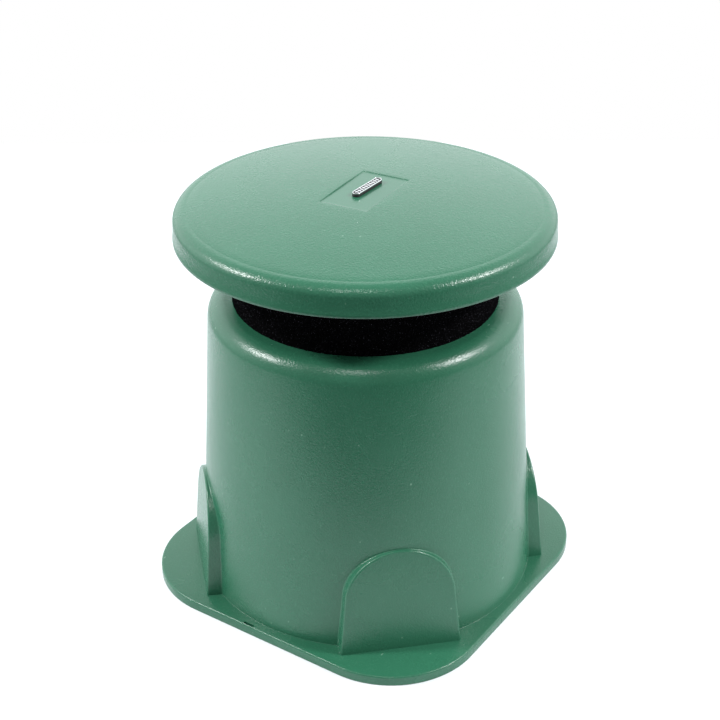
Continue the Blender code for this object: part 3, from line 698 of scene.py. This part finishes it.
def flange():
    """Rounded square plate with a skirt, and the drain slot at its edge."""
    inner = 2 * SKIRT_DEPTH
    edge = rounded([
        (inner, FLANGE_TOP, 0),
        (0, FLANGE_TOP, 1.8 * MM),
        (0, 0, 0.8 * MM),
        (WALL, 0, 0.5 * MM),
        (WALL, FLANGE_UNDER, 0.8 * MM),
        (inner, FLANGE_UNDER, 0),
    ])
    loops = [circle(FLANGE_HOLE_R, FLANGE_TOP)]
    loops += [square_loop(FLANGE_HALF - inset, FLANGE_CORNER - inset, z) for inset, z in edge
              if inset < SKIRT_DEPTH]
    loops.append(circle(FLANGE_HOLE_R, FLANGE_UNDER))
    bm = bmesh.new()
    skin_into(bm, loops, ring=True)
    plate = new_object(bm, "flange")
    slot = bmesh.new()
    outline = [Vector((p.x, p.y, 0)) + DRAIN_AT for p in stadium(*DRAIN_SIZE)]
    loops = [[p + Vector((0, 0, z)) for p in outline] for z in (DRAIN_FLOOR, DRAIN_CUT_TOP)]
    skin_into(slot, loops, caps=True)
    apply_cut(plate, new_object(slot, "slot"))
    return plate


def boss_outline():
    """Points and outward normals (across, height) up one side, round the arch and down."""
    centre = BOSS_TOP - BOSS_HALF_ARCH
    side = []
    for k in range(BOSS_SIDE_STEPS):
        share = k / BOSS_SIDE_STEPS
        z = BOSS_LOW + (centre - BOSS_LOW) * share
        half = BOSS_HALF_BASE + (BOSS_HALF_ARCH - BOSS_HALF_BASE) * share
        side.append((Vector((half, z)), Vector((1, 0))))
    arch = []
    for k in range(BOSS_ARCH_STEPS + 1):
        angle = math.pi * k / BOSS_ARCH_STEPS
        out = Vector((math.cos(angle), math.sin(angle)))
        arch.append((Vector((0, centre)) + out * BOSS_HALF_ARCH, out))
    left = [(Vector((-p.x, p.y)), Vector((-1, 0))) for p, _ in reversed(side)]
    return side + arch + left


def boss_section(spot, out):
    """One cut through the boss's edge: face, rounded edge, wall, fillet, and its root in the wall."""
    share = (spot.y - FLANGE_TOP) / (BOSS_TOP - FLANGE_TOP)
    face = BOSS_FACE_BASE + (BOSS_FACE_TOP - BOSS_FACE_BASE) * share
    skin = math.sqrt(body_radius(spot.y) ** 2 - spot.x ** 2)
    proud = face - skin
    edge = min(BOSS_EDGE, 0.42 * proud)
    fillet = min(BOSS_FILLET, 0.3 * proud)
    points = []
    for k in range(6):
        angle = math.radians(18 * k)
        points.append((spot + out * edge * (math.sin(angle) - 1), face - edge + edge * math.cos(angle)))
    for k in range(9):
        angle = math.radians(90 * k / 8)
        place = spot + out * fillet * (1 - math.cos(angle))
        here = math.sqrt(body_radius(place.y) ** 2 - place.x ** 2)
        points.append((place, here + fillet * (1 - math.sin(angle)) - BOSS_SINK * k / 8))
    points.append((points[-1][0], BOSS_ROOT))
    return points


def boss(turn):
    """An arched flat boss, closed at its root inside the wall."""
    bm = bmesh.new()
    spin = Matrix.Rotation(turn, 4, "Z")
    rows = [[bm.verts.new(spin @ Vector((depth, p.x, p.y))) for p, depth in boss_section(spot, out)]
            for spot, out in boss_outline()]
    for first, second in zip(rows, rows[1:]):
        for k in range(len(first) - 1):
            bm.faces.new((first[k], first[k + 1], second[k + 1], second[k]))
    bm.faces.new([row[0] for row in rows])
    bm.faces.new([row[-1] for row in rows])
    bm.faces.new(rows[0] + rows[-1][::-1])
    return new_object(bm, "boss")


def make_housing():
    """The wall, the flange, a boss on each corner and the base screws' posts."""
    parts = [tapered_body(), flange()]
    parts += [boss(math.radians(45 + 90 * k)) for k in range(4)]
    low, high = FLANGE_UNDER, BASE_POST_TOP
    post = [(2 * MM, low), (6.8 * MM, low), (6.4 * MM, high), (2 * MM, high)]
    for k in range(BASE_POSTS):
        parts.append(screw_post(post, BASE_POST_CIRCLE, 2 * math.pi * (k + 0.5) / BASE_POSTS))
    shell = joined("housing_shell", parts)
    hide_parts("housing")
    return shell


# ---------------------------------------------------------------- cap

def dome_height(radius):
    """The dome's height at a radius."""
    return CAP_RIM + (CAP_CROWN - CAP_RIM) * (1 - (radius / CAP_RIM_R) ** 2)


def recess_loop(grow, blend, radius):
    """The recess's rectangle grown by a margin, blended towards a circle."""
    loop = []
    for k in range(COLUMNS):
        angle = 2 * math.pi * k / COLUMNS
        c, s = math.cos(angle), math.sin(angle)
        along = (RECESS_HALF[0] + grow) / max(abs(c), TINY)
        across = (RECESS_HALF[1] + grow) / max(abs(s), TINY)
        reach = min(along, across)
        reach = reach * (1 - blend) + radius * blend
        turned = angle + RECESS_TURN
        spot = Vector((reach * math.cos(turned), reach * math.sin(turned), 0))
        loop.append(spot + RECESS_AT * (1 - blend))
    return loop


def lifted(loop, height):
    """The loop with each point's height given by a function of its radius."""
    return [Vector((p.x, p.y, height(math.hypot(p.x, p.y)))) for p in loop]


def turned_circle(radius, z):
    """A circle whose columns start in the recess's direction."""
    return [Vector((radius * math.cos(a), radius * math.sin(a), z))
            for a in (RECESS_TURN + 2 * math.pi * k / COLUMNS for k in range(COLUMNS))]


def cap_top_loops():
    """Recess floor, its edges, and the dome out to the rim."""
    def floor(_):
        return RECESS_FLOOR

    loops = [lifted([RECESS_AT], floor)]
    for share in (0.25, 0.5, 0.75, 0.9):
        loops.append(lifted([RECESS_AT.lerp(p, share) for p in recess_loop(0, 0, 0)], floor))
    loops.append(lifted(recess_loop(-0.5 * MM, 0, 0), floor))
    loops.append(lifted(recess_loop(-0.25 * MM, 0, 0), lambda _: RECESS_FLOOR + 0.06 * MM))
    for grow, drop in ((0.0, 0.30), (0.06, 0.12), (0.18, 0.03), (0.4, 0.0)):
        loops.append(lifted(recess_loop(grow * MM, 0, 0), lambda r, d=drop: dome_height(r) - d * MM))
    for blend in (0.15, 0.35, 0.6, 0.85, 1.0):
        loops.append(lifted(recess_loop((2 + 6 * blend) * MM, blend, RECESS_ROUND), dome_height))
    for step in range(1, 15):
        radius = RECESS_ROUND + (CAP_RIM_R - 1.2 * MM - RECESS_ROUND) * step / 14
        loops.append(turned_circle(radius, dome_height(radius)))
    return loops


def cap_rim_profile():
    """Groove at the dome's edge, rolled rim, flared side, lip and the hollow underside."""
    edge = dome_height(CAP_RIM_R)
    groove = [(CAP_RIM_R - 0.6 * MM, edge - 0.02 * MM), (CAP_RIM_R, edge - 0.18 * MM),
              (CAP_RIM_R + 0.8 * MM, edge - 0.14 * MM)]
    roll_r = CAP_R - CAP_ROLL_INSET - CAP_RIM_R
    roll = []
    for k in range(3, 17):
        angle = math.radians(90 - 90 * k / 16)
        roll.append((CAP_RIM_R + roll_r * math.cos(angle), CAP_RIM - CAP_ROLL_DROP * (1 - math.sin(angle))))
    low = CAP_LOW.z
    side = [(CAP_R - 0.65 * MM, low + 10 * MM), (CAP_R - 0.38 * MM, low + 4.6 * MM)]
    lip = [(CAP_R - 0.08 * MM, low + 3.6 * MM), (CAP_R, low + 2.8 * MM), (CAP_R, low + 1.3 * MM)]
    lip += [(CAP_R - 0.4 * MM, low + 0.4 * MM), (CAP_R - 1.3 * MM, low)]
    inner = CAP_R - CAP_SHEET
    under = [(inner + 0.3 * MM, low), (inner, low + 0.4 * MM)]
    under += [(inner - 0.8 * MM, 343 * MM), (152 * MM, 348 * MM)]
    under += [(r * MM, dome_height(r * MM) - CAP_SHEET) for r in (147, 132, 114, 96, 76, 57, 38, 19)]
    return groove + roll + side + lip + under


def make_cap():
    """The dome with its recess, rim and hollow underside, and the cap screws' posts."""
    bm = bmesh.new()
    loops = cap_top_loops()
    loops += [turned_circle(r, z) for r, z in cap_rim_profile()]
    loops.append([Vector((0, 0, CAP_CROWN - CAP_SHEET))])
    skin_into(bm, loops)
    body = new_object(bm, "cap_body")
    for face in body.data.polygons:
        if max(abs(body.data.vertices[k].co.z - RECESS_FLOOR) for k in face.vertices) < 0.01 * MM:
            face.material_index = 1
    low, high = CAP_POST_LOW, CAP_POST_TOP
    post = [(2.1 * MM, low), (5.6 * MM, low), (5.8 * MM, high), (2.1 * MM, high)]
    posts = [screw_post(post, CAP_POST_CIRCLE, 2 * math.pi * k / CAP_POSTS) for k in range(CAP_POSTS)]
    shell = joined("cap_shell", [body] + posts)
    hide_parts("cap")
    return shell


# ---------------------------------------------------------------- foam

def make_foam():
    """A sleeve whose outer face is pitted like open-cell foam."""
    outer = FOAM_HIGH.x
    inner = outer - FOAM_SHEET
    low, high = FOAM_LOW.z, FOAM_HIGH.z
    loops = [circle(inner, low, FOAM_COLUMNS)]
    for row in range(FOAM_ROWS + 1):
        z = low + (high - low) * row / FOAM_ROWS
        loop = []
        for p in circle(outer, z, FOAM_COLUMNS):
            pit = sum(noise.noise(p * pitch) * depth * MM for pitch, depth in FOAM_PITS)
            out = Vector((p.x, p.y, 0)).normalized()
            loop.append(p + out * (pit - FOAM_INSET))
        loops.append(loop)
    loops.append(circle(inner, high, FOAM_COLUMNS))
    bm = bmesh.new()
    skin_into(bm, loops, ring=True)
    sleeve = new_object(bm, "foam_open_cell_sleeve", 80)
    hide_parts("foam_sleeve")
    return sleeve


# ---------------------------------------------------------------- name plate

def bar_solid(length, width, low, high, bevel):
    """An upright bar with round ends and a rounded top edge."""
    bm = bmesh.new()
    profile = [(0, low), (0, high - bevel), (bevel * 0.3, high - bevel * 0.3), (bevel, high)]
    loops = []
    for inset, z in profile:
        loops.append([Vector((p.x, p.y, z)) for p in stadium(length - 2 * inset, width - 2 * inset)])
    skin_into(bm, loops, caps=True)
    return new_object(bm, "bar")


def place_badge(piece):
    """Turn the piece and move it to the name plate's place."""
    piece.data.transform(Matrix.Rotation(BADGE_TURN, 4, "Z"))
    piece.data.transform(Matrix.Translation(Vector((BADGE_AT.x, BADGE_AT.y, 0))))


def make_badge_plate():
    """The plate's dark body."""
    piece = bar_solid(BADGE_LENGTH, BADGE_WIDTH, PLATE_LOW.z, PLATE_HIGH.z + 0.2 * MM, 0.4 * MM)
    piece = joined("name_plate_body", [piece])
    place_badge(piece)
    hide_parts("badge_plate")
    return piece


def make_badge_rim():
    """A thin bright rim with a row of plain ribs inside it."""
    low, high = PLATE_HIGH.z + 0.1 * MM, RIM_HIGH.z
    shoulder = high - 0.2 * MM
    section = ((0.15, low), (0.15, shoulder), (0.3, high), (0.55, high), (0.7, shoulder), (0.7, low))
    loops = []
    for inset, z in section:
        outline = stadium(BADGE_LENGTH - 2 * inset * MM, BADGE_WIDTH - 2 * inset * MM)
        loops.append([Vector((p.x, p.y, z)) for p in outline])
    bm = bmesh.new()
    skin_into(bm, loops, ring=True)
    parts = [new_object(bm, "rim")]
    for k in range(RIBS):
        rib = bar_solid(RIB_LENGTH, RIB_WIDTH, low, high - 0.1 * MM, 0.2 * MM)
        rib.data.transform(Matrix.Rotation(math.radians(90), 4, "Z"))
        rib.data.transform(Matrix.Translation(Vector(((k - (RIBS - 1) / 2) * RIB_PITCH, 0, 0))))
        parts.append(rib)
    piece = joined("name_plate_rim", parts)
    place_badge(piece)
    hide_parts("badge_rim")
    return piece


# ---------------------------------------------------------------- driver's spider and leads

def spider_outline():
    """The corrugated cloth's section: flat at the neck and the ledge, waves between."""
    middle = (SPIDER_LOW.z + SPIDER_HIGH.z) / 2
    rim = SPIDER_HIGH.x
    start, end = SPIDER_NECK + SPIDER_FLAT[0], rim - SPIDER_FLAT[1]
    crests = int((end - start) / SPIDER_PITCH)
    points = [(SPIDER_NECK, middle)]
    steps = crests * SPIDER_WAVE_STEPS
    for k in range(steps + 1):
        radius = start + (end - start) * k / steps
        points.append((radius, middle + SPIDER_WAVE * math.sin(2 * math.pi * k / SPIDER_WAVE_STEPS)))
    points.append((rim, middle))
    top = [(r, z + SPIDER_SHEET / 2) for r, z in points]
    under = [(r, z - SPIDER_SHEET / 2) for r, z in reversed(points)]
    return top + under


def make_spider_quarter(quarter):
    """A quarter of the cloth, from its neck at the coil out to its rim on the ledge."""
    middle = math.radians(90 * quarter)
    loops = []
    for step in range(SPIDER_TURN_STEPS + 1):
        angle = middle + math.radians(90 * step / SPIDER_TURN_STEPS - 45)
        loops.append([Vector((r * math.cos(angle), r * math.sin(angle), z)) for r, z in spider_outline()])
    bm = bmesh.new()
    skin_into(bm, loops, caps=True)
    piece = new_object(bm, "spider_quarter_%d" % (quarter + 1))
    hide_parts("spider")
    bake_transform(piece)
    return piece


def make_lead(node, side):
    """A tinsel lead that bends between its tag and the cone."""
    curve = bpy.data.curves.new(node, "CURVE")
    curve.dimensions = "3D"
    curve.bevel_depth = LEAD_R
    curve.bevel_resolution = 2
    curve.use_fill_caps = True
    spline = curve.splines.new("BEZIER")
    spline.bezier_points.add(len(LEAD_ROUTE) - 1)
    for point, (x, y, z) in zip(spline.bezier_points, LEAD_ROUTE):
        point.co = Vector((x, side * y, z)) * MM
        point.handle_left_type = point.handle_right_type = "AUTO"
    wire = linked("wire", curve)
    mesh = evaluated_mesh(wire)
    bpy.data.objects.remove(wire, do_unlink=True)
    mesh.shade_smooth()
    piece = linked(node + "_wire", mesh)
    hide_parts(node)
    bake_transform(piece)
    return piece


# ---------------------------------------------------------------- assembly

def dress_cad_nodes(materials):
    """Give every CAD node the finished material of its slot."""
    for part in frame["record"]["subparts"]:
        node = frame["nodes"][part["node"]]
        for place in node.material_slots:
            place.material = materials[part["material_slot"]]


def main():
    """The studio, the finished CAD nodes, and the pieces that stand for eight of them."""
    set_stage()
    materials = material_set()
    dress_cad_nodes(materials)
    for make, slot, looks in ((make_housing, "green_plastic", ["green_plastic"]),
                              (make_cap, "green_plastic", ["cap_top", "recess_floor"]),
                              (make_foam, "foam", ["foam"]),
                              (make_badge_plate, "black_plastic", ["badge_black"]),
                              (make_badge_rim, "chrome", ["chrome"])):
        piece = make()
        for look in looks:
            piece.data.materials.append(materials[look])
        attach(piece, "enclosure")
    bending = [(make_spider_quarter(k), "spider_cloth") for k in range(SPIDER_QUARTERS)]
    bending.append((make_lead("tinsel_lead_positive", 1), "copper"))
    bending.append((make_lead("tinsel_lead_negative", -1), "copper"))
    for piece, slot in bending:
        piece.data.materials.append(materials[slot])


main()
